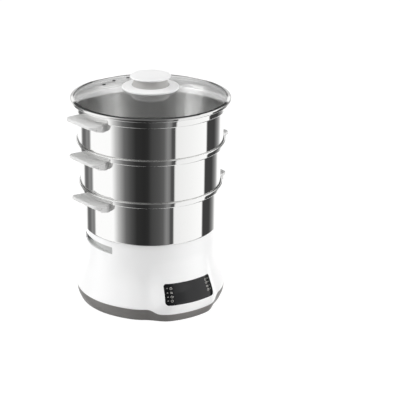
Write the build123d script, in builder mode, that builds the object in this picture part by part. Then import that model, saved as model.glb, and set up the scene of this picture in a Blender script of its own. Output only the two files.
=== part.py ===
"""Electric food steamer: heated base, juice tray, three nesting steel baskets and a glass lid.

Millimetres. +Z is up, the control panel faces -Y, and the origin lies on the stack's axis at the
level of the feet. The round baskets and the lid can be set down at any angle on the base.
"""
from build123d import *
from math import asin, cos, degrees, pi, radians, sin, sqrt
import os

os.makedirs("parts", exist_ok=True)

# ---------------------------------------------------------------- driving dimensions
# Base housing
foot_drop = 1.5            # the rubber feet lift the housing this far off the worktop
parting_z = 23.0           # white shell meets grey housing
chin_parting_z = 15.5      # the same line under the control panel
seam_z = 104.0             # top of the white shell, where the juice tray stands
base_top_z = 129.8         # top of the juice tray, where the bottom basket stands
collar_r = 109.5           # straight upper part of the base
foot_r = 119.4             # lower edge of the grey housing
skirt_r = 125.8            # widest part of the skirt, at the parting line
chin_foot_r = 127.8        # reach of the panel bulge at its lower edge
chin_r = 135.4             # greatest reach of the panel bulge
chin_flat_angle = 16.0     # half angle over which the bulge keeps its full reach
chin_end_angle = 34.0      # half angle at which the bulge has died away
base_wall = 2.8            # shell and housing wall
lens_depth = 1.9           # pocket of the control panel lens
lens_gap = 0.15
panel_low_z = 33.0
panel_high_z = 66.5
panel_low_half = 47.0      # half width of the lens along its lower edge
panel_high_half = 43.5
panel_corner = 5.0
gauge_angle = 68.0         # water gauge, measured round the base from the front
gauge_low_z = 50.0
gauge_high_z = 92.0
gauge_half = 4.0

# Water tank and heater
tank_r = 98.0              # outer radius of the tank's wall
tank_wall = 2.2
tank_floor_z = 45.0        # underside of the tank's floor
tank_flange_z = 100.5      # underside of the flange that hangs in the shell
tank_lip_z = 119.0         # top of the tank's wall, seen behind the grip slots
heater_r = 40.0
heater_plate_t = 1.6
gasket_w = 3.0
element_r = 28.0           # centre-line radius of the tubular element
element_tube_r = 3.6
steam_ring_r = 50.0
steam_ring_wall = 2.0

# Juice tray
tray_wall = 2.5
tray_floor_z = 120.0       # underside of the dish
dish_r = 101.0              # inner radius of the dish
chimney_r = 32.0
chimney_z = 134.5
tray_guide_z = 110.0       # lower edge of the ring that slips over the tank
lip_z = 134.0              # ring that centres the bottom basket
slot_low_z = 106.5
slot_high_z = 119.0
slot_half_angle = 24.5

# Baskets: top, middle, bottom
sheet = 0.8                # stainless steel sheet
rim_z = (346.5, 280.5, 206.6)
top_wall_r = 120.7         # outer radius of the top basket's wall
nest_gap = 0.4             # a basket's wall inside the collar below it
wall_step = 3.9            # each basket is this much narrower than the one above
rim_h = (12.0, 10.4, 9.6)  # rim, from its top to the underside of its ledge
hem_reach = 2.2            # rolled hem outside the collar
hem_h = 2.6
corner_r = 2.2
flange_w = 9.0             # turned-in foot flange under the basket's floor
floor_lift = 6.0           # the perforated floor stands this far above the flange
hole_d = 5.5
hole_pitch = 12.5
stack_turn = 7.4           # the baskets stand turned by this angle on the base

# Basket handles
handle_half = 36.9         # half width
handle_reach = 22.1        # beyond the collar
handle_plate = 6.0         # thickness of the grip plate
handle_rise = (0.0, 1.0, 2.0)  # top, middle, bottom: the grip plate rises this much outwards
handle_cheek = 11.5        # the fingers' space starts this far from each end
handle_cheek_h = 13.0      # height of a cheek at the basket's wall
handle_cheek_end = 9.0     # height of a cheek at its outer end
handle_cheek_reach = 17.0
handle_nick = 4.8          # each end draws in this much under the collar
handle_nick_round = 4.0
handle_corner = 10.0
handle_edge = 2.0          # rounding of the outer edge
bend_relief = 1.5          # chamfer that clears the bend under the basket's rim
rivet_r = 2.0
rivet_head_r = 4.0
rivet_head_t = 1.2
rivet_gap = 0.1
rivet_depth = 6.0

# Lid
lid_r = 132.5
rim_sheet = 0.6
rim_band = 5.3             # width of the steel band seen from above
lid_band_z = 352.5         # inner edge of the band
lid_corner_z = 351.3       # outer edge of the band
lid_skirt_h = 5.2          # skirt that locates the lid inside the top basket
glass_t = 3.6
glass_edge_r = 131.0
dome_edge_r = 127.0
dome_edge_z = 351.9
dome_h = 16.0
vent_r = 84.0
vent_d = 4.5
vent_angle = -164.0        # middle vent hole, measured from the front
vent_pitch = 20.0

# Knob
knob_base_r = 47.0
knob_base_edge = 3.0
knob_neck_r = 28.6
knob_cap_r = 33.5
knob_cap_z = 388.0         # top of the knob
knob_cap_t = 4.2
knob_wall = 2.5
knob_neck_z = 370.8        # lower edge of the grey neck
screw_r = 2.5
screw_head_r = 6.0
washer_r = 12.0

# Inside the base
floor_wall = 2.5           # floor of the grey housing
screw_angles = (22.5, 157.5, 202.5, 337.5)
boss_circle = 98.0
boss_r = 4.5
boss_join_z = 18.0         # housing boss meets shell boss
boss_top_z = 36.0
boss_rib = 30.0            # rib that ties a shell boss to the shell's wall
screw_grip = 6.0           # thickness under the head of a housing screw
screw_head = 2.8
pilot_r = 1.5
foot_angles = (45, 135, 225, 315)
foot_circle = 103.0
foot_pad_r = 9.0
foot_peg_r = 4.0
vent_circle = 58.0
vent_slots = 10
vent_slot = (24.0, 3.2)
gland_z = 12.5
gland_r = 6.0
gland_bore_r = 3.5
gland_flange_r = 8.2
gland_flange_t = 2.0
board_t = 1.6
board_z = 10.0             # underside of the power board
board_size = (104.0, 70.0)
board_centre_y = 6.0
board_holes = (96.0, 62.0)
board_boss_r = 3.0
control_size = (84.0, 26.0)
control_tilt = 20.0        # the control board leans back with the panel
control_centre_y = -113.5
control_centre_z = 50.0
control_posts = (74.0, 18.0)
post_r = 3.0
post_pilot = 4.5
display_size = (34.0, 14.0, 4.0)
fit = 0.3                  # clearance between separate bodies and loose parts


# ---------------------------------------------------------------- helpers
def export(piece, node, turn=0.0):
    """Label a finished piece and write it, turned about the stack's axis."""
    solid = piece.part.rotate(Axis.Z, turn) if turn else piece.part
    solid.label = node
    export_step(solid, f"parts/{node}.step")


def facing(angle, distance=0.0):
    """Upright plane that looks outwards at an angle measured from the front (-Y) towards +X."""
    outward = (sin(radians(angle)), -cos(radians(angle)), 0)
    across = (cos(radians(angle)), sin(radians(angle)), 0)
    return Plane(origin=Vector(*outward) * distance, x_dir=across, z_dir=outward)


def at_angle(radius, angle):
    """Point at an angle measured from the front (-Y) towards +X."""
    return (radius * sin(radians(angle)), -radius * cos(radians(angle)))


def revolved_sheet(path, thickness, radii):
    """A revolved sheet section, from its centre line as (radius, height) points."""
    with BuildPart() as shell:
        with BuildSketch(Plane.XZ):
            with BuildLine():
                FilletPolyline(*path, radius=radii)
            trace(line_width=thickness)
        revolve(axis=Axis.Z)
    return shell


def ring(outer, inner, low, high):
    """Plain ring between two radii and two heights."""
    with BuildPart() as band:
        with BuildSketch(Plane.XY.offset(low)):
            Circle(outer)
            Circle(inner, mode=Mode.SUBTRACT)
        extrude(amount=high - low)
    return band.part


def disc(radius, low, high, centre=(0, 0)):
    """Plain upright disc or pin between two heights."""
    with BuildPart() as block:
        with BuildSketch(Plane.XY.offset(low)):
            with Locations(centre):
                Circle(radius)
        extrude(amount=high - low)
    return block.part


def bulge(angle):
    """Share of the panel bulge that is left at an angle from the front: 1 at the panel, 0 behind."""
    fade = (abs(angle) - chin_flat_angle) / (chin_end_angle - chin_flat_angle)
    return 0.5 + 0.5 * cos(pi * min(1.0, max(0.0, fade)))


# ---------------------------------------------------------------- skin of the base
# Levels that the skin passes through: share of the height, then of the way from the smaller
# radius to the larger one, for the round body and for the bulge under the control panel.
rising_levels = (
    (0.000, 0.000, 0.000),
    (0.163, 0.289, 0.179),
    (0.349, 0.577, 0.362),
    (0.581, 0.844, 0.529),
    (0.814, 0.962, 0.712),
)
flaring_levels = (
    (0.000, 1.000, 0.954),
    (0.056, 0.938, 0.982),
    (0.123, 0.797, 1.000),
    (0.210, 0.641, 0.952),
    (0.309, 0.464, 0.844),
    (0.420, 0.276, 0.685),
    (0.531, 0.150, 0.518),
    (0.642, 0.073, 0.355),
    (0.753, 0.025, 0.202),
    (0.840, 0.010, 0.111),
    (0.907, 0.004, 0.045),
    (0.963, 0.001, 0.008),
    (1.000, 0.000, 0.000),
)


def between(start, end, share):
    return start + share * (end - start)


skin_levels = [
    (
        between(foot_drop, parting_z, height),
        between(foot_r, skirt_r, body),
        between(chin_foot_r, chin_r, front),
    )
    for height, body, front in rising_levels
] + [
    (
        between(parting_z, seam_z, height),
        between(collar_r, skirt_r, body),
        between(collar_r, chin_r, front),
    )
    for height, body, front in flaring_levels
]
skin_angles = (*range(-36, 37, 6), *range(54, 307, 18))


def skin_solid(inset):
    """Solid inside the base's skin, drawn in by an inset, from the housing's foot to the seam."""
    with BuildPart() as skin:
        for z, body, front in skin_levels:
            with BuildSketch(Plane.XY.offset(z)):
                with BuildLine():
                    Spline(
                        *[
                            at_angle(body - inset + (front - body) * bulge(angle), angle)
                            for angle in skin_angles
                        ],
                        periodic=True,
                    )
                make_face()
        loft()
    return skin.part


outer_skin = skin_solid(0.0)
lens_back_skin = skin_solid(lens_depth)
inner_skin = skin_solid(base_wall)

# Everything below the parting line, which drops in a soft S under the control panel.
s_inner = at_angle(chin_r, chin_flat_angle + 6)[0]
s_outer = at_angle(skirt_r, chin_end_angle)[0]
reach = 2 * skirt_r
with BuildPart() as below_parting:
    with BuildSketch(Plane.XZ):
        with BuildLine():
            Line((-s_inner, chin_parting_z), (s_inner, chin_parting_z))
            Spline((s_inner, chin_parting_z), (s_outer, parting_z), tangents=((1, 0), (1, 0)))
            Polyline((s_outer, parting_z), (reach, parting_z), (reach, 0), (-reach, 0),
                     (-reach, parting_z), (-s_outer, parting_z))
            Spline((-s_outer, parting_z), (-s_inner, chin_parting_z), tangents=((1, 0), (1, 0)))
        make_face()
    extrude(amount=reach)
    with Locations((0, reach / 2, parting_z / 2)):
        Box(2 * reach, reach, parting_z)


def window_prism(angle, low, high, low_half, high_half, corner, gap):
    """Outward prism of a window in the skin, from its four sides, with rounded corners."""
    with BuildPart() as prism:
        with BuildSketch(facing(angle, 0.5 * collar_r)) as outline:
            Polygon(
                (-low_half - gap, low - gap), (low_half + gap, low - gap),
                (high_half + gap, high + gap), (-high_half - gap, high + gap),
                align=None,
            )
            fillet(outline.vertices(), corner)
        extrude(amount=collar_r)
    return prism.part


def panel_prism(gap):
    return window_prism(0, panel_low_z, panel_high_z, panel_low_half, panel_high_half,
                        panel_corner, gap)


def gauge_prism(gap):
    return window_prism(gauge_angle, gauge_low_z, gauge_high_z, gauge_half, gauge_half,
                        0.8 * gauge_half, gap)


# ---------------------------------------------------------------- housing of the base
floor_top = foot_drop + floor_wall
shelf_z = tank_flange_z - 2.5
rib_height = boss_top_z - boss_join_z - 6
up_from = (Align.CENTER, Align.CENTER, Align.MIN)
down_from = (Align.CENTER, Align.CENTER, Align.MAX)

with BuildPart() as cavity:
    add(inner_skin)
    with Locations((0, 0, floor_top / 2)):
        Box(2 * reach, 2 * reach, floor_top, mode=Mode.SUBTRACT)

with BuildPart() as lower_housing:
    add(outer_skin)
    add(below_parting.part, mode=Mode.INTERSECT)
    add(cavity.part, mode=Mode.SUBTRACT)
    with Locations((0, board_centre_y, floor_top - 1)):
        with GridLocations(*board_holes, 2, 2):
            Cylinder(board_boss_r, board_z - floor_top + 1, align=up_from)
            Cylinder(pilot_r, board_z, align=up_from, mode=Mode.SUBTRACT)
    for angle in screw_angles:
        x, y = at_angle(boss_circle, angle)
        add(disc(boss_r + 1.5, floor_top - 1, boss_join_z, (x, y)))
        add(disc(pilot_r + fit, 0, boss_join_z, (x, y)), mode=Mode.SUBTRACT)
        add(disc(screw_head + fit, 0, boss_join_z - screw_grip, (x, y)), mode=Mode.SUBTRACT)
    for angle in foot_angles:
        add(disc(foot_peg_r, 0, floor_top, at_angle(foot_circle, angle)), mode=Mode.SUBTRACT)
    with BuildSketch(Plane.XY):
        with PolarLocations(vent_circle, vent_slots):
            SlotOverall(*vent_slot)
    extrude(amount=floor_top, mode=Mode.SUBTRACT)
    with BuildSketch(facing(180, 0.8 * foot_r)):
        with Locations((0, gland_z)):
            Circle(gland_r)
    extrude(amount=foot_r, mode=Mode.SUBTRACT)
export(lower_housing, "lower_housing")

# Ribs and posts inside the shell, trimmed so that they end inside its wall.
panel_plane = Plane(
    origin=(0, control_centre_y, control_centre_z),
    x_dir=(1, 0, 0),
    z_dir=(0, -cos(radians(control_tilt)), sin(radians(control_tilt))),
)
with BuildPart() as shell_ribs:
    for angle in screw_angles:
        x, y = at_angle(boss_circle, angle)
        with BuildSketch(Plane.XY.offset(boss_join_z + 6)):
            with Locations(Location((x, y), angle)):
                Rectangle(2 * pilot_r, boss_rib, align=(Align.CENTER, Align.MAX))
        extrude(amount=rib_height)
    with BuildSketch(panel_plane.offset(board_t)):
        with GridLocations(*control_posts, 2, 2):
            Circle(post_r)
    extrude(amount=chin_r - foot_r)
    add(lens_back_skin, mode=Mode.INTERSECT)

with BuildPart() as base_shell:
    add(outer_skin)
    add(below_parting.part, mode=Mode.SUBTRACT)
    add(inner_skin, mode=Mode.SUBTRACT)
    add(ring(collar_r - 1, tank_r + 0.5, shelf_z, tank_flange_z))
    add(shell_ribs.part)
    for angle in screw_angles:
        x, y = at_angle(boss_circle, angle)
        add(disc(boss_r, boss_join_z, boss_top_z, (x, y)))
        add(disc(pilot_r, boss_join_z, boss_top_z - 3, (x, y)), mode=Mode.SUBTRACT)
    with BuildSketch(panel_plane.offset(board_t)):
        with GridLocations(*control_posts, 2, 2):
            Circle(pilot_r)
    extrude(amount=post_pilot, mode=Mode.SUBTRACT)

# Windows of the control panel and the water gauge: a pocket in the shell, a lens that fills it.
with BuildPart() as lens_layer:
    add(outer_skin)
    add(lens_back_skin, mode=Mode.SUBTRACT)
for node, prism in (("panel_lens", panel_prism), ("water_gauge", gauge_prism)):
    with BuildPart() as pocket:
        add(lens_layer.part)
        add(prism(lens_gap), mode=Mode.INTERSECT)
    with BuildPart() as lens:
        add(lens_layer.part)
        add(prism(0), mode=Mode.INTERSECT)
    export(lens, node)
    with base_shell:
        add(pocket.part, mode=Mode.SUBTRACT)
export(base_shell, "base_shell")

with BuildPart() as feet:
    for angle in foot_angles:
        centre = at_angle(foot_circle, angle)
        add(disc(foot_pad_r, 0, foot_drop, centre))
        add(disc(foot_peg_r, foot_drop, floor_top, centre))
        add(disc(foot_peg_r + 1, floor_top, floor_top + 1, centre))
export(feet, "rubber_feet")

with BuildPart() as housing_screws:
    for angle in screw_angles:
        centre = at_angle(boss_circle, angle)
        head_top = boss_join_z - screw_grip
        add(disc(screw_head, head_top - 2, head_top, centre))
        add(disc(pilot_r, head_top, boss_top_z - 4, centre))
export(housing_screws, "housing_screws")

# Bush in the rear wall that the mains lead passes through.
with BuildPart() as cord_gland:
    inside_y = foot_r - base_wall
    with BuildSketch(facing(180, inside_y - gland_flange_t)):
        with Locations((0, gland_z)):
            Circle(gland_flange_r)
    extrude(amount=gland_flange_t)
    with BuildSketch(facing(180, inside_y)):
        with Locations((0, gland_z)):
            Circle(gland_r)
    extrude(amount=chin_r - inside_y, taper=2)
    with BuildSketch(facing(180, 0)):
        with Locations((0, gland_z)):
            Circle(gland_bore_r)
    extrude(amount=2 * chin_r, mode=Mode.SUBTRACT)
export(cord_gland, "cord_gland")

# ---------------------------------------------------------------- electronics
with BuildPart() as power_board:
    with BuildSketch(Plane.XY.offset(board_z)):
        with Locations((0, board_centre_y)):
            RectangleRounded(*board_size, 2)
            with GridLocations(*board_holes, 2, 2):
                Circle(pilot_r + 0.1, mode=Mode.SUBTRACT)
    extrude(amount=board_t)
export(power_board, "power_board")

board_top = board_z + board_t
with BuildPart() as board_parts:
    with Locations((-30, board_centre_y + 12, board_top)):
        Box(28, 13, 15, align=up_from)
    with Locations((8, board_centre_y + 10, board_top)):
        Box(26, 22, 18, align=up_from)
    with Locations((36, board_centre_y + 16, board_top), (36, board_centre_y - 2, board_top)):
        Cylinder(6, 16, align=up_from)
    with Locations((-10, board_centre_y - 24, board_top)):
        Box(60, 8, 10, align=up_from)
export(board_parts, "power_board_parts")

with BuildPart() as board_screws:
    with Locations((0, board_centre_y, board_top)):
        with GridLocations(*board_holes, 2, 2):
            Cylinder(screw_head, 1.8, align=up_from)
            Cylinder(pilot_r, 5, align=down_from)
    with Locations(panel_plane):
        with GridLocations(*control_posts, 2, 2):
            Cylinder(screw_head, 1.8, align=down_from)
            Cylinder(pilot_r, board_t + post_pilot - 0.5, align=up_from)
export(board_screws, "board_screws")

with BuildPart() as control_board:
    with BuildSketch(panel_plane):
        RectangleRounded(*control_size, 2)
        with GridLocations(*control_posts, 2, 2):
            Circle(pilot_r + 0.1, mode=Mode.SUBTRACT)
    extrude(amount=board_t)
export(control_board, "control_board")

with BuildPart() as display:
    with BuildSketch(panel_plane.offset(board_t)):
        Rectangle(display_size[0], display_size[1])
    extrude(amount=display_size[2])
export(display, "display_module")

# ---------------------------------------------------------------- tank and heater
tank_floor_top = tank_floor_z + tank_wall
hole_r = heater_r + gasket_w
clamp_boss_circle = hole_r + 14
clamp_boss_h = 2.6
clamp_t = 2.0
clamp_z = tank_floor_z - clamp_boss_h

water_tank = revolved_sheet(
    (
        (hole_r, tank_floor_z + tank_wall / 2),
        (tank_r - tank_wall / 2, tank_floor_z + tank_wall / 2),
        (tank_r - tank_wall / 2, tank_lip_z),
    ),
    tank_wall,
    12,
)
with water_tank:
    add(ring(collar_r - base_wall - fit, tank_r - 0.5 * tank_wall, tank_flange_z,
             tank_flange_z + tank_wall))
    for angle in (0, 120, 240):
        x, y = at_angle(clamp_boss_circle, angle)
        add(disc(4, clamp_z, tank_floor_z + 0.5, (x, y)))
        add(disc(pilot_r, clamp_z, tank_floor_top - 0.8, (x, y)), mode=Mode.SUBTRACT)
export(water_tank, "water_tank")

with BuildPart() as gasket:
    add(ring(hole_r, heater_r, tank_floor_z, tank_floor_top + 1.0))
    add(ring(hole_r + 3, heater_r, tank_floor_top, tank_floor_top + 1.0))
export(gasket, "heater_gasket")

plate_z = tank_floor_z
with BuildPart() as heater_plate:
    add(disc(heater_r, plate_z, plate_z + heater_plate_t))
    fillet(heater_plate.edges().group_by(Axis.Z)[-1], 0.6)
export(heater_plate, "heater_plate")

with BuildPart() as element:
    tube_z = plate_z - element_tube_r
    with BuildSketch(Plane.XZ):
        with Locations((element_r, tube_z)):
            Circle(element_tube_r)
    revolve(axis=Axis.Z, revolution_arc=300)
    for turn in (6, 294):
        x, y = element_r * cos(radians(turn)), element_r * sin(radians(turn))
        add(disc(2, tube_z - 14, tube_z, (x, y)))
export(element, "heating_element")

with BuildPart() as clamp:
    add(ring(clamp_boss_circle + 6, heater_r - 6, clamp_z - clamp_t, clamp_z))
    add(ring(hole_r, heater_r - 3, clamp_z, tank_floor_z))
    for angle in (0, 120, 240):
        add(disc(pilot_r + 0.2, 0, clamp_z, at_angle(clamp_boss_circle, angle)),
            mode=Mode.SUBTRACT)
export(clamp, "heater_clamp")

with BuildPart() as clamp_screws:
    for angle in (0, 120, 240):
        centre = at_angle(clamp_boss_circle, angle)
        add(disc(screw_head, clamp_z - clamp_t - 1.8, clamp_z - clamp_t, centre))
        add(disc(pilot_r, clamp_z - clamp_t, tank_floor_top - 1.2, centre))
export(clamp_screws, "heater_clamp_screws")

with BuildPart() as thermostat:
    add(disc(8, plate_z - 9, plate_z))
    with Locations((0, 0, plate_z - 9)):
        Box(24, 6, 1.5, align=up_from)
export(thermostat, "thermostat")

with BuildPart() as fuse:
    with BuildSketch(Plane.YZ.offset(-7)):
        with Locations((17, plate_z - 2.2)):
            Circle(2.2)
    extrude(amount=14)
export(fuse, "thermal_fuse")

with BuildPart() as steam_ring:
    add(ring(steam_ring_r, steam_ring_r - steam_ring_wall, tank_floor_top, shelf_z))
    for angle in range(0, 360, 60):
        with BuildSketch(facing(angle)):
            with Locations((0, tank_floor_top)):
                SlotOverall(24, 9, rotation=90)
        extrude(amount=collar_r, mode=Mode.SUBTRACT)
export(steam_ring, "steam_guide_ring")

# ---------------------------------------------------------------- juice tray
tray_floor_top = tray_floor_z + tray_wall - 0.3
slot_half = (collar_r - tray_wall) * sin(radians(slot_half_angle))
with BuildPart() as juice_tray:
    add(ring(collar_r, collar_r - tray_wall, seam_z, base_top_z))
    add(ring(collar_r - 1, dish_r, base_top_z - tray_wall, base_top_z))
    add(ring(dish_r + tray_wall, dish_r, tray_floor_z, lip_z))
    add(ring(tank_r + fit + 2, tank_r + fit, tray_guide_z, tray_floor_top))
    add(ring(dish_r + 1, chimney_r - 1, tray_floor_z, tray_floor_top))
    add(ring(chimney_r, chimney_r - tray_wall, tray_floor_z, chimney_z))
    fillet(juice_tray.edges().filter_by(GeomType.CIRCLE).group_by(SortBy.RADIUS)[-1]
           .sort_by(Axis.Z)[-1], 1.2)
    for angle in (90, 270):
        with BuildSketch(facing(angle, 0.6 * dish_r)):
            with Locations((0, 0.5 * (slot_low_z + slot_high_z))):
                RectangleRounded(2 * slot_half, slot_high_z - slot_low_z, 2.0)
        extrude(amount=collar_r, mode=Mode.SUBTRACT)
export(juice_tray, "juice_tray")

# ---------------------------------------------------------------- baskets
basket_names = ("top", "middle", "bottom")
collar_reach = wall_step + nest_gap + sheet
rivet_angle = degrees(asin((handle_half - (handle_cheek + handle_nick) / 2) / top_wall_r))


def rivet_pins(wall_r, z, radius, start, end):
    """Radial pins at the two cheeks of each handle, between two distances from the inner wall."""
    with BuildPart() as pins:
        for side in (90, 270):
            for angle in (side - rivet_angle, side + rivet_angle):
                with BuildSketch(facing(angle, wall_r - sheet + start)):
                    with Locations((0, z)):
                        Circle(radius)
                extrude(amount=end - start)
    return pins.part


for index, name in enumerate(basket_names):
    wall_r = top_wall_r - index * wall_step
    collar = wall_r + collar_reach
    top = rim_z[index]
    last = index == len(basket_names) - 1
    bottom = base_top_z if last else rim_z[index + 1] - rim_h[index + 1] + sheet
    ledge = top - rim_h[index]
    half_sheet = sheet / 2
    rivet_z = ledge - 0.6 * handle_cheek_h

    basket = revolved_sheet(
        (
            (wall_r - flange_w, bottom + half_sheet),
            (wall_r - half_sheet, bottom + half_sheet),
            (wall_r - half_sheet, ledge + half_sheet),
            (collar - half_sheet, ledge + half_sheet),
            (collar - half_sheet, top - half_sheet),
            (collar + hem_reach - half_sheet, top - half_sheet),
            (collar + hem_reach - half_sheet, top - hem_h),
        ),
        sheet,
        (corner_r, 1.3, 1.3, 0.8, 0.9),
    )
    with basket:
        add(rivet_pins(wall_r, rivet_z, rivet_r + rivet_gap, -2, 2), mode=Mode.SUBTRACT)
    export(basket, f"{name}_basket", stack_turn)

    # The floor is a shallow perforated cap that stands on the turned-in flange.
    floor_r = wall_r - sheet - corner_r
    floor_z = bottom + sheet + floor_lift
    with BuildPart() as floor:
        with BuildSketch(Plane.XZ):
            with BuildLine():
                FilletPolyline(
                    (floor_r - half_sheet, bottom + sheet),
                    (floor_r - half_sheet, floor_z - half_sheet),
                    (floor_r - 6, floor_z - half_sheet),
                    radius=2,
                )
            trace(line_width=sheet)
        revolve(axis=Axis.Z)
        with BuildSketch(Plane.XY.offset(floor_z - sheet)):
            Circle(floor_r - 6)
            for turn_count in range(1, int((floor_r - 8) / hole_pitch)):
                row_r = turn_count * hole_pitch
                with PolarLocations(row_r, round(2 * pi * row_r / hole_pitch)):
                    Circle(hole_d / 2, mode=Mode.SUBTRACT)
        extrude(amount=sheet)
    export(floor, f"{name}_basket_floor", stack_turn)

    # Grip plate on two short cheeks, hollow underneath for the fingers.
    edge_r = collar + handle_reach
    edge_z = ledge + handle_rise[index]
    cheek_r = wall_r + handle_cheek_reach
    root_r = wall_r - 8
    with BuildPart() as handle:
        with BuildSketch(Plane.XZ):
            Polygon((root_r, ledge), (collar, ledge), (edge_r, edge_z),
                    (edge_r, edge_z - handle_plate), (cheek_r, edge_z - handle_plate),
                    (cheek_r, ledge - handle_cheek_end), (wall_r, ledge - handle_cheek_h),
                    (root_r, ledge - handle_cheek_h), align=None)
        extrude(amount=handle_half, both=True)
        with BuildSketch(Plane.XZ):
            Polygon((root_r, ledge - handle_plate - 1.2), (edge_r + 1, edge_z - handle_plate),
                    (edge_r + 1, 0), (root_r, 0), align=None)
        extrude(amount=handle_half - handle_cheek, both=True, mode=Mode.SUBTRACT)
        with BuildSketch(Plane.XY.offset(ledge - 2 * handle_cheek_h)) as plan:
            narrow = handle_half - handle_nick
            Polygon((root_r, narrow), (wall_r - 4, narrow), (collar, handle_half),
                    (edge_r, handle_half), (edge_r, -handle_half), (collar, -handle_half),
                    (wall_r - 4, -narrow), (root_r, -narrow), align=None)
            columns = plan.vertices().group_by(Axis.X)
            fillet(columns[-1], handle_corner)
            fillet(columns[-2], handle_nick_round)
        extrude(amount=3 * handle_cheek_h, mode=Mode.INTERSECT)
        fillet(handle.faces().sort_by(Axis.X)[-1].edges(), handle_edge)
        add(disc(wall_r, 0, 2 * top), mode=Mode.SUBTRACT)
        with Locations((0, 0, ledge - bend_relief)):
            Cone(wall_r, wall_r + bend_relief, bend_relief, align=up_from, mode=Mode.SUBTRACT)
        add(rivet_pins(wall_r, rivet_z, rivet_r + rivet_gap, 0, rivet_depth + 2 * sheet),
            mode=Mode.SUBTRACT)
    export(handle, f"{name}_handle_right", stack_turn)
    export(handle, f"{name}_handle_left", stack_turn + 180)

    with BuildPart() as rivets:
        add(rivet_pins(wall_r, rivet_z, rivet_r, -0.1, rivet_depth + sheet))
        add(rivet_pins(wall_r, rivet_z, rivet_head_r, -0.1 - rivet_head_t, -0.1))
    export(rivets, f"{name}_handle_rivets", stack_turn)

# ---------------------------------------------------------------- lid
sphere_r = (dome_edge_r ** 2 + dome_h ** 2) / (2 * dome_h)
sphere_z = dome_edge_z + dome_h - sphere_r
top_collar_bore = top_wall_r + collar_reach - sheet
seat_z = rim_z[0] + rim_sheet / 2
skirt_r_lid = top_collar_bore - nest_gap - rim_sheet / 2


def dome_z(radius, depth=0.0):
    """Height of the glass at a radius, or of the surface a depth under it."""
    return sphere_z + sqrt((sphere_r - depth) ** 2 - radius ** 2)


lid_rim = revolved_sheet(
    (
        (lid_r - rim_band, lid_band_z),
        (lid_r - rim_sheet / 2, lid_corner_z),
        (lid_r - rim_sheet / 2, seat_z),
        (skirt_r_lid, seat_z),
        (skirt_r_lid, seat_z - lid_skirt_h),
    ),
    rim_sheet,
    (1.4, 1.0, 0.8),
)
export(lid_rim, "lid_rim", stack_turn)

with BuildPart() as glass:
    with BuildSketch(Plane.XZ):
        with BuildLine():
            middle_r = glass_edge_r / 2
            ThreePointArc((0, dome_z(0)), (middle_r, dome_z(middle_r)),
                          (glass_edge_r, dome_z(glass_edge_r)))
            Line((glass_edge_r, dome_z(glass_edge_r)), (glass_edge_r, dome_z(glass_edge_r, glass_t)))
            ThreePointArc((glass_edge_r, dome_z(glass_edge_r, glass_t)),
                          (middle_r, dome_z(middle_r, glass_t)), (0, dome_z(0, glass_t)))
            Line((0, dome_z(0, glass_t)), (0, dome_z(0)))
        make_face()
    revolve(axis=Axis.Z)
    add(disc(screw_r + 0.5, 0, 2 * sphere_r), mode=Mode.SUBTRACT)
    for step in (-1, 0, 1):
        add(disc(vent_d / 2, 0, 2 * sphere_r, at_angle(vent_r, vent_angle + step * vent_pitch)),
            mode=Mode.SUBTRACT)
export(glass, "lid_glass")

# ---------------------------------------------------------------- knob
bore_r = screw_r + 0.3
socket_r = knob_neck_r - knob_wall - 0.6
cap_low = knob_cap_z - knob_cap_t
with BuildPart() as knob_base:
    with BuildSketch(Plane.XZ):
        with BuildLine():
            edge_low = dome_z(knob_base_r, -0.1)
            middle_r = knob_base_r / 2
            ThreePointArc((bore_r, dome_z(bore_r, -0.1)), (middle_r, dome_z(middle_r, -0.1)),
                          (knob_base_r, edge_low))
            Line((knob_base_r, edge_low), (knob_base_r, edge_low + knob_base_edge - 1.2))
            ThreePointArc((knob_base_r, edge_low + knob_base_edge - 1.2),
                          (knob_base_r - 0.35, edge_low + knob_base_edge - 0.35),
                          (knob_base_r - 1.2, edge_low + knob_base_edge))
            Spline((knob_base_r - 1.2, edge_low + knob_base_edge),
                   (knob_neck_r + 3.5, knob_neck_z), tangents=((-1, 0.02), (-1, 0.3)))
            Polyline((knob_neck_r + 3.5, knob_neck_z), (socket_r, knob_neck_z),
                     (socket_r, knob_neck_z + 5), (socket_r - 2, knob_neck_z + 5),
                     (socket_r - 2, knob_neck_z), (bore_r, knob_neck_z),
                     (bore_r, dome_z(bore_r, -0.1)))
        make_face()
    revolve(axis=Axis.Z)
export(knob_base, "knob_base")

with BuildPart() as knob_neck:
    with BuildSketch(Plane.XZ):
        with BuildLine():
            foot_x = knob_neck_r + 2.4
            waist = (knob_neck_r - 0.7, 0.5 * (knob_neck_z + cap_low))
            ThreePointArc((foot_x, knob_neck_z), waist, (knob_neck_r + 0.5, cap_low))
            Polyline((knob_neck_r + 0.5, cap_low), (socket_r + 0.1, cap_low),
                     (socket_r + 0.1, knob_neck_z), (foot_x, knob_neck_z))
        make_face()
    revolve(axis=Axis.Z)
export(knob_neck, "knob_neck")

with BuildPart() as knob_cap:
    with BuildSketch(Plane.XZ):
        with BuildLine():
            Spline((0, knob_cap_z), (knob_cap_r - 2, knob_cap_z - 1.0),
                   tangents=((1, 0), (1, -0.15)))
            ThreePointArc((knob_cap_r - 2, knob_cap_z - 1.0),
                          (knob_cap_r, knob_cap_z - 2.6), (knob_cap_r - 0.6, cap_low))
            Polyline((knob_cap_r - 0.6, cap_low), (socket_r, cap_low), (socket_r, cap_low - 4),
                     (socket_r - 2, cap_low - 4), (socket_r - 2, cap_low),
                     (3 * screw_r, cap_low), (3 * screw_r, knob_neck_z),
                     (screw_r, knob_neck_z), (screw_r, cap_low - 2),
                     (0, cap_low - 2), (0, knob_cap_z))
        make_face()
    revolve(axis=Axis.Z)
export(knob_cap, "knob_cap")

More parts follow.
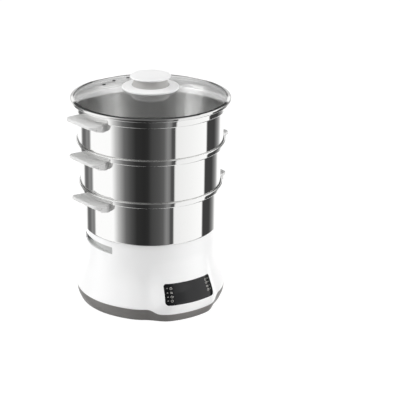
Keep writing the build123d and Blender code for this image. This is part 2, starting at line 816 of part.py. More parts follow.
washer_top = dome_z(washer_r, glass_t + 0.1)
washer_low = washer_top - 1.5
with BuildPart() as washer:
    add(ring(washer_r, screw_r + 0.1, washer_low, washer_top))
export(washer, "knob_washer")

with BuildPart() as knob_screw:
    add(disc(screw_head_r, washer_low - 3, washer_low))
    fillet(knob_screw.edges().group_by(Axis.Z)[0], 1.2)
    add(disc(screw_r, washer_low, cap_low - 3))
    with Locations((0, 0, washer_low - 3)):
        Box(8, 1.4, 3, mode=Mode.SUBTRACT)
export(knob_screw, "knob_screw")
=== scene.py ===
"""Looks of a three-tier electric food steamer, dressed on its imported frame.

Lengths are in millimetres, as on a maker's drawing, and MM turns them to metres. Angles are in
degrees, and a direction round the steamer counts from its front (-Y) towards +X.
"""

from math import cos, hypot, pi, radians, sin, sqrt

import bpy
from mathutils import Matrix, Vector
from mathutils.bvhtree import BVHTree


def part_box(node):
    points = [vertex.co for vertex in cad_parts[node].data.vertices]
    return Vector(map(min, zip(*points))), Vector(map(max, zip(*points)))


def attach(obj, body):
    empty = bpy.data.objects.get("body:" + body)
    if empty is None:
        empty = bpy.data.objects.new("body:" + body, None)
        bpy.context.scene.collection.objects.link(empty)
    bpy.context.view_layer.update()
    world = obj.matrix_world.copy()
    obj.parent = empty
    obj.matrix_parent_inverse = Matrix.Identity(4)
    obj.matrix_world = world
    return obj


MM = 0.001

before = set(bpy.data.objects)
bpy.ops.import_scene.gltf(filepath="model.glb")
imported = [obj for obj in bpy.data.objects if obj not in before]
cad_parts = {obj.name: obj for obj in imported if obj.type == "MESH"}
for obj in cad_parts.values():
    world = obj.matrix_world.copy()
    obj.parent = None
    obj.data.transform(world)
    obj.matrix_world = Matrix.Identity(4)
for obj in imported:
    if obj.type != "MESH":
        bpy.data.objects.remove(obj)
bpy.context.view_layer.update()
scene = bpy.context.scene
scene.view_settings.view_transform = "Standard"

# ---------------------------------------------------------------- camera
VIEW_ANGLE = -31.0  # the direction in which the camera stands
VIEW_DISTANCE = 2332.0  # along the table, from the steamer's axis
VIEW_HEIGHT = 1050.5
VIEW_PITCH = 20.72  # how far the camera looks down
LENS = 133.1
SENSOR_WIDTH = 36.0
SHIFT_X = 0.1235  # share of the frame's width by which the steamer stands left of its middle
FARTHEST_SEEN = 20000.0


def add_camera():
    """Camera that looks down on the steamer from its front left."""
    data = bpy.data.cameras.new("studio_camera")
    data.lens = LENS
    data.sensor_width = SENSOR_WIDTH
    data.shift_x = SHIFT_X
    data.clip_end = FARTHEST_SEEN * MM
    camera = bpy.data.objects.new("studio_camera", data)
    angle = radians(VIEW_ANGLE)
    camera.location = (
        VIEW_DISTANCE * sin(angle) * MM,
        -VIEW_DISTANCE * cos(angle) * MM,
        VIEW_HEIGHT * MM,
    )
    camera.rotation_euler = (radians(90.0 - VIEW_PITCH), 0.0, angle)
    scene.collection.objects.link(camera)
    scene.camera = camera


add_camera()


# ---------------------------------------------------------------- materials
def tone(code):
    """sRGB hex to linear colour."""
    channels = [int(code[i : i + 2], 16) / 255 for i in (1, 3, 5)]
    return [c / 12.92 if c <= 0.04045 else ((c + 0.055) / 1.055) ** 2.4 for c in channels] + [1.0]


def add_node(tree, kind, inputs=None, **settings):
    """One node with its settings; an input takes a value or another node's output."""
    node = tree.nodes.new(kind)
    for key, value in settings.items():
        setattr(node, key, value)
    for key, value in (inputs or {}).items():
        if isinstance(value, bpy.types.NodeSocket):
            tree.links.new(value, node.inputs[key])
        else:
            node.inputs[key].default_value = value
    return node


def new_material(name):
    """Empty material with its output and a Principled shader."""
    material = bpy.data.materials.new(name)
    material.use_nodes = True
    tree = material.node_tree
    tree.nodes.clear()
    output = add_node(tree, "ShaderNodeOutputMaterial")
    shader = add_node(tree, "ShaderNodeBsdfPrincipled")
    tree.links.new(shader.outputs["BSDF"], output.inputs["Surface"])
    return material, tree, shader


def set_stops(ramp, stops):
    """Colour ramp from (position, grey value) pairs."""
    elements = ramp.color_ramp.elements
    while len(elements) > 1:
        elements.remove(elements[-1])
    elements[0].position = stops[0][0]
    elements[0].color = (stops[0][1], stops[0][1], stops[0][1], 1.0)
    for position, value in stops[1:]:
        element = elements.new(position)
        element.color = (value, value, value, 1.0)


FLOW_MM = 55.56  # the melt's flow leaves shades about this wide
FLOW_GLOSS = 0.01  # and changes the roughness by this much each way
GRAIN_DEPTH = 0.1
PLASTIC_IOR = 1.49


def moulded_plastic(name, code, roughness, grain_mm, bump, flow_shade=0.04):
    """Injection-moulded plastic: an even colour, a spark-eroded grain, faint flow shading.

    A real grain is about 0.1 mm wide, so it is drawn several times as coarse to show at all.
    """
    material, tree, shader = new_material(name)
    place = add_node(tree, "ShaderNodeTexCoord")
    flow = add_node(
        tree,
        "ShaderNodeTexNoise",
        {"Vector": place.outputs["Object"], "Scale": 1000.0 / FLOW_MM, "Detail": 2.0},
    )
    base = tone(code)
    low = [c * (1.0 - flow_shade) for c in base[:3]] + [1.0]
    colour = add_node(
        tree,
        "ShaderNodeMix",
        {"Factor": flow.outputs["Fac"], "A": low, "B": base},
        data_type="RGBA",
    )
    tree.links.new(colour.outputs[2], shader.inputs["Base Color"])
    grain = add_node(
        tree,
        "ShaderNodeTexNoise",
        {"Vector": place.outputs["Object"], "Scale": 1000.0 / grain_mm, "Detail": 1.0},
    )
    worn = add_node(
        tree,
        "ShaderNodeMapRange",
        {
            "Value": flow.outputs["Fac"],
            "To Min": roughness - FLOW_GLOSS,
            "To Max": roughness + FLOW_GLOSS,
        },
    )
    tree.links.new(worn.outputs["Result"], shader.inputs["Roughness"])
    relief = add_node(
        tree,
        "ShaderNodeBump",
        {"Height": grain.outputs["Fac"], "Strength": bump, "Distance": GRAIN_DEPTH * MM},
    )
    tree.links.new(relief.outputs["Normal"], shader.inputs["Normal"])
    shader.inputs["IOR"].default_value = PLASTIC_IOR
    return material


# Metres of pattern to a radian round the axis: on a basket's wall a line is about six times as
# long as it is wide.
LINE_STRETCH = 0.02
LINE_DEPTH = 0.05
QUARTER_TURN = 0.25  # turns the brushed blur from round the axis to up and down
LINE_GLOSS = 0.2  # share of the roughness that comes and goes from line to line


def polished_steel(name, code, roughness, line_mm=0.6, bump=0.02, inside=None):
    """Stainless sheet, spun and polished: mirror-like, with faint lines round the axis.

    Real lines are a tenth of a millimetre apart, so they are drawn coarser to show at all.
    A vessel's inside, of the roughness given for it, is only brushed round its axis, so that it
    glows up and down its wall but still shows sharp edges across.
    """
    material, tree, shader = new_material(name)
    place = add_node(tree, "ShaderNodeTexCoord")
    parts = add_node(tree, "ShaderNodeSeparateXYZ", {"Vector": place.outputs["Object"]})
    around = add_node(
        tree,
        "ShaderNodeMath",
        {0: parts.outputs["X"], 1: parts.outputs["Y"]},
        operation="ARCTAN2",
    )
    slow = add_node(
        tree, "ShaderNodeMath", {0: around.outputs[0], 1: LINE_STRETCH}, operation="MULTIPLY"
    )
    strip = add_node(
        tree, "ShaderNodeCombineXYZ", {"X": slow.outputs[0], "Z": parts.outputs["Z"]}
    )
    lines = add_node(
        tree,
        "ShaderNodeTexNoise",
        {"Vector": strip.outputs["Vector"], "Scale": 1000.0 / line_mm, "Detail": 3.0},
    )
    gloss = add_node(
        tree,
        "ShaderNodeMapRange",
        {
            "Value": lines.outputs["Fac"],
            "To Min": roughness * (1 - LINE_GLOSS),
            "To Max": roughness * (1 + LINE_GLOSS),
        },
    )
    if inside is None:
        tree.links.new(gloss.outputs["Result"], shader.inputs["Roughness"])
    else:
        from_axis = add_node(
            tree, "ShaderNodeCombineXYZ", {"X": parts.outputs["X"], "Y": parts.outputs["Y"]}
        )
        facing = add_node(
            tree,
            "ShaderNodeVectorMath",
            {0: from_axis.outputs["Vector"], 1: place.outputs["Normal"]},
            operation="DOT_PRODUCT",
        )
        inner = add_node(
            tree, "ShaderNodeMath", {0: facing.outputs["Value"], 1: 0.0}, operation="LESS_THAN"
        )
        finish = add_node(
            tree,
            "ShaderNodeMix",
            {"Factor": inner.outputs[0], "A": gloss.outputs["Result"], "B": inside},
        )
        tree.links.new(finish.outputs[0], shader.inputs["Roughness"])
        tree.links.new(inner.outputs[0], shader.inputs["Anisotropic"])
        shader.inputs["Anisotropic Rotation"].default_value = QUARTER_TURN
        around_axis = add_node(tree, "ShaderNodeTangent", direction_type="RADIAL", axis="Z")
        tree.links.new(around_axis.outputs["Tangent"], shader.inputs["Tangent"])
    relief = add_node(
        tree,
        "ShaderNodeBump",
        {"Height": lines.outputs["Fac"], "Strength": bump, "Distance": LINE_DEPTH * MM},
    )
    tree.links.new(relief.outputs["Normal"], shader.inputs["Normal"])
    shader.inputs["Base Color"].default_value = tone(code)
    shader.inputs["Metallic"].default_value = 1.0
    return material


FILM_MM = 71.43  # patches of cooking film are about this wide
FILM_FROM, FILM_FULL = 0.45, 0.8  # noise values between which the film grows
FILM_ROUGHNESS = 0.012
GLASS_IOR = 1.46


def tempered_glass(name):
    """Clear soda-lime glass, heat tempered: sharp gloss, with a breath of cooking film."""
    material, tree, shader = new_material(name)
    place = add_node(tree, "ShaderNodeTexCoord")
    film = add_node(
        tree,
        "ShaderNodeTexNoise",
        {"Vector": place.outputs["Object"], "Scale": 1000.0 / FILM_MM, "Detail": 2.0},
    )
    haze = add_node(
        tree,
        "ShaderNodeMapRange",
        {
            "Value": film.outputs["Fac"],
            "From Min": FILM_FROM,
            "From Max": FILM_FULL,
            "To Max": FILM_ROUGHNESS,
        },
    )
    tree.links.new(haze.outputs["Result"], shader.inputs["Roughness"])
    shader.inputs["Base Color"].default_value = tone("#FFFFFF")
    shader.inputs["IOR"].default_value = GLASS_IOR
    shader.inputs["Transmission Weight"].default_value = 1.0
    return material


# Base, tray and knob: glossy, and so even that only broad soft shades show on it.
white_abs = moulded_plastic("glossy_white_abs", "#F5F5F5", 0.28, 0.9, 0.02, 0.006)
# Handles: a duller, waxier skin than the base's. Their white is set greyer than the base's as
# painted shade, which darkens the shaded end faces and the rest of each handle alike.
grip_white_painted_shade = moulded_plastic("satin_white_polypropylene_painted_shade", "#DCDCDB", 0.42, 0.7, 0.06)
# Lower housing: etched satin, so the foot stays quiet under the white.
grey_abs = moulded_plastic("satin_warm_grey_abs", "#757371", 0.42, 0.8, 0.08)
# Knob's neck: a soft band that keeps no clear highlight.
neck_grey = moulded_plastic("satin_light_grey_silicone_band", "#B4B3B1", 0.5, 0.8, 0.08)
# Water tank and steam guide: milky and pale.
tank_plastic = moulded_plastic("pale_grey_polypropylene_tank", "#D9DAD9", 0.4, 0.8, 0.06)
# Touch panel: as dark and smooth as a screen that is switched off.
panel_acrylic = moulded_plastic("black_tinted_acrylic", "#0E0F11", 0.05, 3.0, 0.005)
# Key symbols: thin matt ink, a little greyer than the base.
symbol_ink = moulded_plastic("white_screen_ink", "#D0CEC9", 0.5, 0.5, 0.02)
# Water gauge: a smoky window with a soft gloss.
gauge_window = moulded_plastic("smoky_polycarbonate", "#3A3C3E", 0.12, 2.0, 0.01)
# Feet, gasket and washer: too matt for a highlight.
black_rubber = moulded_plastic("black_silicone_rubber", "#1E1E1E", 0.7, 0.8, 0.15)
# Vent eyelets: dark dots in the glass, with a lighter edge where they stand proud.
eyelet_rubber = moulded_plastic("dark_grey_silicone_eyelet", "#4A4A49", 0.6, 0.8, 0.1)
# Gland of the mains lead: dull and nearly black.
gland_nylon = moulded_plastic("black_nylon", "#17181A", 0.5, 0.8, 0.08)
# Circuit boards: a deep green lacquer with half a gloss.
board_green = moulded_plastic("green_solder_mask", "#1D5233", 0.35, 0.6, 0.05)
# Electronic components: even, half-matt black.
part_black = moulded_plastic("black_epoxy_component", "#1B1B1D", 0.45, 0.6, 0.05)
# Baskets and their rivets: a mirror outside, a soft glow inside.
basket_steel = polished_steel("spun_polished_stainless", "#EDEDEC", 0.035, inside=0.35)
# Lid's rim: rolled and polished, bright all round.
rim_steel = polished_steel("rolled_polished_stainless", "#E6E6E5", 0.05)
# Perforated floors: brushed, so they blur what stands over them.
floor_steel = polished_steel("brushed_stainless_floor", "#B4B4B3", 0.35, 0.8, 0.05)
# Screws: the bluish, slightly dull white of zinc.
plain_steel = polished_steel("zinc_plated_steel", "#B5B6B8", 0.28, 0.8, 0.05)
# Heater plate and element: brushed, and warmer in colour than the baskets.
heater_steel = polished_steel("brushed_heater_stainless", "#A9A8A6", 0.3, 0.5, 0.08)
# Heater's clamp ring: the pebbled grey of a casting.
cast_alloy = polished_steel("cast_aluminium_ring", "#B9BABC", 0.38, 1.2, 0.15)
# Lid's glass.
lid_glass = tempered_glass("clear_tempered_glass")

NODE_FINISH = {
    "lower_housing": grey_abs,
    "base_shell": white_abs,
    "panel_lens": panel_acrylic,
    "water_gauge": gauge_window,
    "rubber_feet": black_rubber,
    "housing_screws": plain_steel,
    "cord_gland": gland_nylon,
    "power_board": board_green,
    "power_board_parts": part_black,
    "board_screws": plain_steel,
    "control_board": board_green,
    "display_module": part_black,
    "water_tank": tank_plastic,
    "heater_gasket": black_rubber,
    "heater_plate": heater_steel,
    "heating_element": heater_steel,
    "heater_clamp": cast_alloy,
    "heater_clamp_screws": plain_steel,
    "thermostat": part_black,
    "thermal_fuse": part_black,
    "steam_guide_ring": tank_plastic,
    "juice_tray": white_abs,
    "lid_rim": rim_steel,
    "lid_glass": lid_glass,
    "knob_base": white_abs,
    "knob_neck": neck_grey,
    "knob_cap": white_abs,
    "knob_washer": black_rubber,
    "knob_screw": plain_steel,
}
for tier in ("top", "middle", "bottom"):
    NODE_FINISH[f"{tier}_basket"] = basket_steel
    NODE_FINISH[f"{tier}_basket_floor"] = floor_steel
    # the handles take the greyer white, with its painted shade
    NODE_FINISH[f"{tier}_handle_left"] = grip_white_painted_shade
    NODE_FINISH[f"{tier}_handle_right"] = grip_white_painted_shade
    NODE_FINISH[f"{tier}_handle_rivets"] = basket_steel
for node, finish in NODE_FINISH.items():
    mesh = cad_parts[node].data
    mesh.materials.clear()
    mesh.materials.append(finish)


# ---------------------------------------------------------------- small pieces
def new_piece(name, vertices, faces):
    """Mesh object from points in millimetres, with smooth faces, linked to the scene."""
    mesh = bpy.data.meshes.new(name)
    mesh.from_pydata([Vector(v) * MM for v in vertices], [], faces)
    mesh.shade_smooth()
    piece = bpy.data.objects.new(name, mesh)
    scene.collection.objects.link(piece)
    return piece


def lathe(name, profile, sides):
    """Closed outline of (radius, height) points, clockwise seen from -Y, turned about Z."""
    vertices = []
    faces = []
    count = len(profile)
    for turn in range(sides):
        angle = 2 * pi * turn / sides
        vertices += [(r * cos(angle), r * sin(angle), z) for r, z in profile]
        here = turn * count
        there = (turn + 1) % sides * count
        for k in range(count):
            n = (k + 1) % count
            faces.append((here + k, here + n, there + n, there + k))
    return new_piece(name, vertices, faces)


INK_HEIGHT = 0.08  # how far the ink stands up from the lens
SAME_POINT = 1e-6  # two points nearer than this are one


def raised_strokes(name, strokes, width):
    """Printed mark: each stroke is a line of (x, y) points, drawn as a low closed bar."""
    vertices = []
    faces = []
    for stroke in strokes:
        first = len(vertices)
        last = len(stroke) - 1
        gap = hypot(stroke[0][0] - stroke[last][0], stroke[0][1] - stroke[last][1])
        closed = gap < SAME_POINT
        points = stroke[:-1] if closed else stroke
        for k, (x, y) in enumerate(points):
            ahead = points[(k + 1) % len(points)] if closed or k < len(points) - 1 else (x, y)
            behind = points[k - 1] if closed or k > 0 else (x, y)
            dx, dy = ahead[0] - behind[0], ahead[1] - behind[1]
            half = width / 2 / hypot(dx, dy)
            for side in (1, -1):
                for z in (0.0, INK_HEIGHT):
                    vertices.append((x - side * dy * half, y + side * dx * half, z))
        spans = len(points) if closed else len(points) - 1
        for k in range(spans):
            here = first + 4 * k
            there = first + 4 * ((k + 1) % len(points))
            # left side, underside, right side and top of the bar
            for a, b in ((1, 0), (0, 2), (2, 3), (3, 1)):
                faces.append((here + a, here + b, there + b, there + a))
        if not closed:
            end = first + 4 * (len(points) - 1)
            faces.append((first, first + 1, first + 3, first + 2))
            faces.append((end + 2, end + 3, end + 1, end))
    return new_piece(name, vertices, faces)


def stamp_tree():
    """Puts a copy of one small piece on each point, turned as the point's own angles say."""
    tree = bpy.data.node_groups.new("copies_on_spots", "GeometryNodeTree")
    face = tree.interface
    face.new_socket("Spots", in_out="INPUT", socket_type="NodeSocketGeometry")
    face.new_socket("Stamp", in_out="INPUT", socket_type="NodeSocketObject")
    face.new_socket("Size", in_out="INPUT", socket_type="NodeSocketFloat")
    face.new_socket("Finish", in_out="INPUT", socket_type="NodeSocketMaterial")
    face.new_socket("Copies", in_out="OUTPUT", socket_type="NodeSocketGeometry")
    given = add_node(tree, "NodeGroupInput")
    stamp = add_node(tree, "GeometryNodeObjectInfo", {"Object": given.outputs["Stamp"]})
    turn = add_node(
        tree, "GeometryNodeInputNamedAttribute", {"Name": "turn"}, data_type="FLOAT_VECTOR"
    )
    copies = add_node(
        tree,
        "GeometryNodeInstanceOnPoints",
        {
            "Points": given.outputs["Spots"],
            "Instance": stamp.outputs["Geometry"],
            "Rotation": turn.outputs["Attribute"],
            "Scale": given.outputs["Size"],
        },
    )
    real = add_node(tree, "GeometryNodeRealizeInstances", {"Geometry": copies.outputs["Instances"]})
    dressed = add_node(
        tree,
        "GeometryNodeSetMaterial",
        {"Geometry": real.outputs["Geometry"], "Material": given.outputs["Finish"]},
    )
    add_node(tree, "NodeGroupOutput", {"Copies": dressed.outputs["Geometry"]})
    return tree


def stamp_copies(name, stamp, spots, finish, size=1.0):
    """Copies of a stamp on (place in metres, outward direction, up direction) spots."""
    mesh = bpy.data.meshes.new(name + "_spots")
    mesh.from_pydata([place for place, outward, up in spots], [], [])
    turn = mesh.attributes.new("turn", "FLOAT_VECTOR", "POINT")
    for k, (place, outward, up) in enumerate(spots):
        across = up.cross(outward).normalized()
        upright = outward.cross(across)
        turn.data[k].vector = Matrix((across, upright, outward)).transposed().to_euler()
    carrier = bpy.data.objects.new(name + "_spots", mesh)
    scene.collection.objects.link(carrier)
    modifier = carrier.modifiers.new("copies", "NODES")
    modifier.node_group = COPIES_ON_SPOTS
    sockets = {i.name: i.identifier for i in COPIES_ON_SPOTS.interface.items_tree}
    modifier[sockets["Stamp"]] = stamp
    modifier[sockets["Size"]] = size
    modifier[sockets["Finish"]] = finish
    graph = bpy.context.evaluated_depsgraph_get()
    copies = bpy.data.meshes.new_from_object(carrier.evaluated_get(graph))
    copies.name = name
    piece = bpy.data.objects.new(name, copies)
    scene.collection.objects.link(piece)
    bpy.data.objects.remove(carrier)
    bpy.data.objects.remove(stamp)
    return piece


COPIES_ON_SPOTS = stamp_tree()


# ---------------------------------------------------------------- panel print
# Each end of the panel: the heights of its four keys, and how far its key symbols and the small
# lamp marks beside them stand in from the panel's side edge.
LEFT_ROWS = (59.5, 53.2, 46.8, 40.8)
RIGHT_ROWS = (61.0, 56.2, 50.4, 45.0)
LEFT_INSETS = (9.4, 3.4)
RIGHT_INSETS = (11.0, 6.0)
PANEL_LEAN = 0.105  # each side edge leans in this much per millimetre of height
INK_WIDTH = 0.36
MARK_SIZE = 1.4  # the key symbols are printed this much larger than they are drawn
LAMP_MARK = [[(-1.2, 0.0), (1.2, 0.0)], [(0.5, 0.9), (0.5, 1.5)]]  # a dash with a tick over it
LAMP_INK_WIDTH = 0.55
IN_FRONT = 50.0  # a place on the lens is looked for from this far in front of it


def arc(x, y, radius, start, end, steps=16):
    """Points on an arc, in degrees."""
    return [
        (
            x + radius * cos(radians(start + (end - start) * k / steps)),
            y + radius * sin(radians(start + (end - start) * k / steps)),
        )
        for k in range(steps + 1)
    ]


def wisp(x, sway=0.3, foot=-1.2, step=0.4):
    """One rising wisp of steam: two bends in six steps."""
    return [(x + sway * sin(k * pi / 3), foot + step * k) for k in range(7)]


KEY_MARKS = {
    "ring": [arc(0, 0, 1.4, 0, 360), [(0, 0.9), (0, 0.0), (0.7, -0.3)]],
    "steam": [wisp(-1.1), wisp(0.0), wisp(1.1)],
    "bowl": [arc(0, 0.4, 1.5, 180, 360), [(-1.9, 0.5), (1.9, 0.5)], [(-0.5, 1.4), (0.5, 1.4)]],
    "switch": [arc(0, -0.1, 1.3, 120, 420), [(0, 0.3), (0, 1.6)]],
}


def print_panel():
    """Screen print on the lens: a column of keys and a column of lamp marks at each end."""
    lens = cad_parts["panel_lens"].data
    surface = BVHTree.FromPolygons(
        [v.co for v in lens.vertices], [tuple(f.vertices) for f in lens.polygons]
    )
    low, high = (Vector(corner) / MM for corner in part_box("panel_lens"))
    middle = (low.x + high.x) / 2
    half = (high.x - low.x) / 2

    def spot(side, inset, height):
        """Place on the lens, outward direction and up; side is -1 at the left, 1 at the right."""
        edge = half - PANEL_LEAN * (height - low.z)
        start = Vector((middle + side * (edge - inset), low.y - IN_FRONT, height)) * MM
        place, outward, index, reach = surface.ray_cast(start, Vector((0, 1, 0)))
        return place, outward, Vector((0, 0, 1))

    printed = []
    for row, (mark, strokes) in enumerate(KEY_MARKS.items()):
        # the right-hand column runs the other way up, so the two ends differ
        spots = [
            spot(-1, LEFT_INSETS[0], LEFT_ROWS[row]),
            spot(1, RIGHT_INSETS[0], RIGHT_ROWS[-1 - row]),
        ]
        stamp = raised_strokes(mark, strokes, INK_WIDTH)
        printed.append(stamp_copies(f"panel_{mark}_marks", stamp, spots, symbol_ink, MARK_SIZE))
    lamps = [spot(-1, LEFT_INSETS[1], height) for height in LEFT_ROWS]
    lamps += [spot(1, RIGHT_INSETS[1], height) for height in RIGHT_ROWS]
    lamp_mark = raised_strokes("lamp_mark", LAMP_MARK, LAMP_INK_WIDTH)
    printed.append(stamp_copies("panel_lamp_marks", lamp_mark, lamps, symbol_ink))
    for marks in printed:
        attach(marks, "base")


print_panel()


# ---------------------------------------------------------------- vent eyelets
VENT_R = 84.0  # the vents' distance from the lid's axis
VENT_ANGLES = (-184.0, -164.0, -144.0)
DOME_R = 512.0  # radius of the glass's upper face
EYELET_SIDES = 40
# (radius, height over the glass), from the sleeve's inner foot, up its outside and over the lip
EYELET_OUTLINE = (
    (1.9, -3.7),
    (2.2, -3.8),
    (2.2, 0.05),
    (2.8, 0.05),
    (3.0, 0.25),
    (2.9, 0.5),
    (2.5, 0.65),
    (2.1, 0.55),
    (1.9, 0.2),
)


def line_vents():
    """Dark silicone eyelets in the three steam vents of the glass."""
    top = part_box("lid_glass")[1][2] / MM
    spots = []
    for angle in VENT_ANGLES:
        turn = radians(angle)
        outward = Vector((VENT_R * sin(turn), -VENT_R * cos(turn), sqrt(DOME_R**2 - VENT_R**2)))
        centre = Vector((0, 0, top - DOME_R))
        spots.append(((centre + outward) * MM, outward.normalized(), Vector((0, 1, 0))))
    eyelet = lathe("eyelet", EYELET_OUTLINE[::-1], EYELET_SIDES)
    eyelets = stamp_copies("vent_eyelets", eyelet, spots, eyelet_rubber)
    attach(eyelets, "lid")


line_vents()


# ---------------------------------------------------------------- studio
# What stands round the table, as seen from the steamer: (degrees from the camera to its right,
# brightness). Two tall soft boxes at the sides, a dark room behind the camera, and a white cove
# behind the steamer.
STUDIO_WALLS = (
    (-180, 1.0),
    (-143, 1.0),
    (-135, 0.15),
    (-126, 0.13),
    (-120, 0.25),
    (-112, 0.2),
    (-107, 1.0),
    (-66, 1.0),
    (-56, 0.52),
    (-49, 0.31),
    (-42, 0.14),
    (-33, 0.075),
    (-23, 0.028),
    (-10, 0.022),
    (-4, 0.026),
    (2, 0.055),
    (14, 0.08),
    (21, 0.11),
    (27, 0.24),
    (31, 0.2),
    (34, 0.075),
    (38, 0.075),
    (40.5, 0.85),
    (97, 1.0),
    (100, 0.05),
    (119, 0.05),
    (126, 0.15),
    (134, 0.35),
    (143, 1.0),
    (180, 1.0),
)
# The same room at the lid's level, all but what is straight behind the steamer.
STUDIO_LID_LEVEL = (
    (-118, 0.25),
    (-101, 0.25),
    (-98, 1.0),
    (-81, 1.0),
    (-71, 0.91),
    (-61, 0.95),
    (-52, 0.85),
    (-44, 0.6),
    (-35, 0.3),
    (-20, 0.13),
    (20, 0.13),
    (37, 0.45),
    (54, 0.85),
    (63, 0.9),
    (73, 0.9),
    (83, 1.0),
    (97, 1.0),
    (100, 0.2),
    (125, 0.2),
)
BACK_WALL_EDGE = 150  # the wall behind the steamer starts this far round, on either side


def with_back_wall(level):
    """The walls at the lid's level, and how bright it is straight behind the steamer."""
    left = ((-180, level), (-BACK_WALL_EDGE, level))
    right = ((BACK_WALL_EDGE, level), (180, level))
    return left + STUDIO_LID_LEVEL + right


# Over the lid: the tops of the two soft boxes, with black cloth between them at the back.
STUDIO_ABOVE_LID = (
    (-180, 0.06),
    (-126, 0.06),
    (-121, 1.0),
    (-58, 1.0),
    (-46, 0.5),
    (-30, 0.16),
    (-10, 0.1),
    (20, 0.13),
    (37, 0.45),
    (46, 0.9),
    (54, 1.0),
    (121, 1.0),
    (126, 0.06),
    (180, 0.06),
)
# Each band of the room comes in between two heights, given as the sine of the angle above level.
# A bright card hangs behind the steamer, just above the lid's level.
ROOM_BANDS = (
    (-0.16, -0.06, with_back_wall(0.6)),
    (0.22, 0.27, with_back_wall(1.0)),
    (0.34, 0.38, STUDIO_ABOVE_LID),
)
CEILING = (0.8, 0.95, 0.2)  # the two heights and the ceiling's brightness
ROOM_STRENGTH = 1.15


def wall_ramp(tree, share, table):
    """Brightness of the walls at a share of the way round the room, from behind the steamer."""
    ramp = add_node(tree, "ShaderNodeValToRGB", {"Fac": share.outputs[0]})
    set_stops(ramp, [((angle + 180) / 360, value) for angle, value in table])
    return ramp.outputs["Color"]


def blend_up(tree, parts, start, end, below, above):
    """The room changes from one look to the next between two heights."""
    height = add_node(
        tree,
        "ShaderNodeMapRange",
        {"Value": parts.outputs["Z"], "From Min": start, "From Max": end},
        interpolation_type="SMOOTHSTEP",
    )
    mix = add_node(
        tree,
        "ShaderNodeMix",
        {"Factor": height.outputs["Result"], "A": below, "B": above},
        data_type="RGBA",
    )
    return mix.outputs[2]


def light_studio():
    """World that is plain white to the camera and a soft-box studio to everything else."""
    world = bpy.data.worlds.new("soft_box_studio")
    scene.world = world
    world.use_nodes = True
    tree = world.node_tree
    tree.nodes.clear()
    place = add_node(tree, "ShaderNodeTexCoord")
    turned = add_node(
        tree,
        "ShaderNodeVectorRotate",
        {"Vector": place.outputs["Generated"], "Angle": radians(-VIEW_ANGLE)},
        rotation_type="Z_AXIS",
    )
    parts = add_node(tree, "ShaderNodeSeparateXYZ", {"Vector": turned.outputs["Vector"]})
    ahead = add_node(tree, "ShaderNodeMath", {0: parts.outputs["Y"], 1: -1.0}, operation="MULTIPLY")
    around = add_node(
        tree, "ShaderNodeMath", {0: parts.outputs["X"], 1: ahead.outputs[0]}, operation="ARCTAN2"
    )
    share = add_node(
        tree,
        "ShaderNodeMath",
        {0: around.outputs[0], 1: 1 / (2 * pi), 2: 0.5},
        operation="MULTIPLY_ADD",
    )
    room = wall_ramp(tree, share, STUDIO_WALLS)
    for start, end, table in ROOM_BANDS:
        room = blend_up(tree, parts, start, end, room, wall_ramp(tree, share, table))
    start, end, brightness = CEILING
    room = blend_up(tree, parts, start, end, room, [brightness] * 3 + [1])
    lit = add_node(tree, "ShaderNodeBackground", {"Color": room, "Strength": ROOM_STRENGTH})
    white = add_node(tree, "ShaderNodeBackground", {"Color": (1, 1, 1, 1), "Strength": 1.0})
    ray = add_node(tree, "ShaderNodeLightPath")
    seen = add_node(
        tree,
        "ShaderNodeMixShader",
        {0: ray.outputs["Is Camera Ray"], 1: lit.outputs[0], 2: white.outputs[0]},
    )
    output = add_node(tree, "ShaderNodeOutputWorld")
    tree.links.new(seen.outputs[0], output.inputs["Surface"])


# Name, degrees from the camera to its right, height, distance, width, height of its face, watts.
SOFT_BOXES = (
    ("key_soft_box", -80, 900, 1500, 900, 1200, 14),
    ("fill_soft_box", 72, 500, 1500, 900, 1200, 10),
    ("top_soft_box", 0, 1600, 150, 900, 900, 5),
)
LAMPS_AIM = 150.0  # the height on the steamer's axis at which the soft boxes look


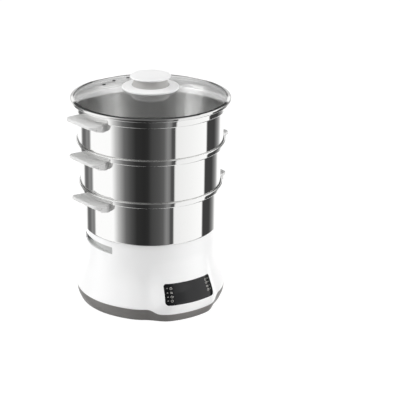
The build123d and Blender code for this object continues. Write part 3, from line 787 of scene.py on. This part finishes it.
def add_soft_box(name, angle, height, distance, width, tall, power):
    """Soft box that looks at the steamer; the steel mirrors the room's walls in its stead."""
    data = bpy.data.lights.new(name, "AREA")
    data.shape = "RECTANGLE"
    data.size = width * MM
    data.size_y = tall * MM
    data.energy = power
    lamp = bpy.data.objects.new(name, data)
    turn = radians(VIEW_ANGLE + angle)
    lamp.location = (distance * sin(turn) * MM, -distance * cos(turn) * MM, height * MM)
    aim = Vector((0.0, 0.0, LAMPS_AIM * MM)) - lamp.location
    lamp.rotation_euler = aim.to_track_quat("-Z", "Y").to_euler()
    lamp.visible_glossy = False
    scene.collection.objects.link(lamp)


TABLE_REACH = 6000.0
TABLE_GREY = 0.85  # the table's colour, which it throws back on the steamer
SEEN_GLOW, SEEN_GREY = 0.93, 0.2  # to the camera it glows nearly white, and shade dims the rest


def add_floor():
    """Plain pale table top that keeps the steamer's shadow; the steel mirrors the room instead."""
    mesh = bpy.data.meshes.new("table_top")
    reach = TABLE_REACH * MM
    mesh.from_pydata(
        [(-reach, -reach, 0), (reach, -reach, 0), (reach, reach, 0), (-reach, reach, 0)],
        [],
        [(0, 1, 2, 3)],
    )
    floor = bpy.data.objects.new("table_top", mesh)
    scene.collection.objects.link(floor)
    material = bpy.data.materials.new("white_table")
    material.use_nodes = True
    tree = material.node_tree
    tree.nodes.clear()
    output = add_node(tree, "ShaderNodeOutputMaterial")
    matt = add_node(tree, "ShaderNodeBsdfDiffuse", {"Color": [TABLE_GREY] * 3 + [1]})
    shaded = add_node(tree, "ShaderNodeBsdfDiffuse", {"Color": [SEEN_GREY] * 3 + [1]})
    glow = add_node(tree, "ShaderNodeEmission", {"Color": (1, 1, 1, 1), "Strength": SEEN_GLOW})
    seen = add_node(tree, "ShaderNodeAddShader", {0: shaded.outputs[0], 1: glow.outputs[0]})
    clear = add_node(tree, "ShaderNodeBsdfTransparent")
    ray = add_node(tree, "ShaderNodeLightPath")
    plain = add_node(
        tree,
        "ShaderNodeMixShader",
        {0: ray.outputs["Is Camera Ray"], 1: matt.outputs[0], 2: seen.outputs[0]},
    )
    both = add_node(
        tree,
        "ShaderNodeMixShader",
        {0: ray.outputs["Is Glossy Ray"], 1: plain.outputs[0], 2: clear.outputs[0]},
    )
    tree.links.new(both.outputs[0], output.inputs["Surface"])
    mesh.materials.append(material)


light_studio()
for soft_box in SOFT_BOXES:
    add_soft_box(*soft_box)
add_floor()
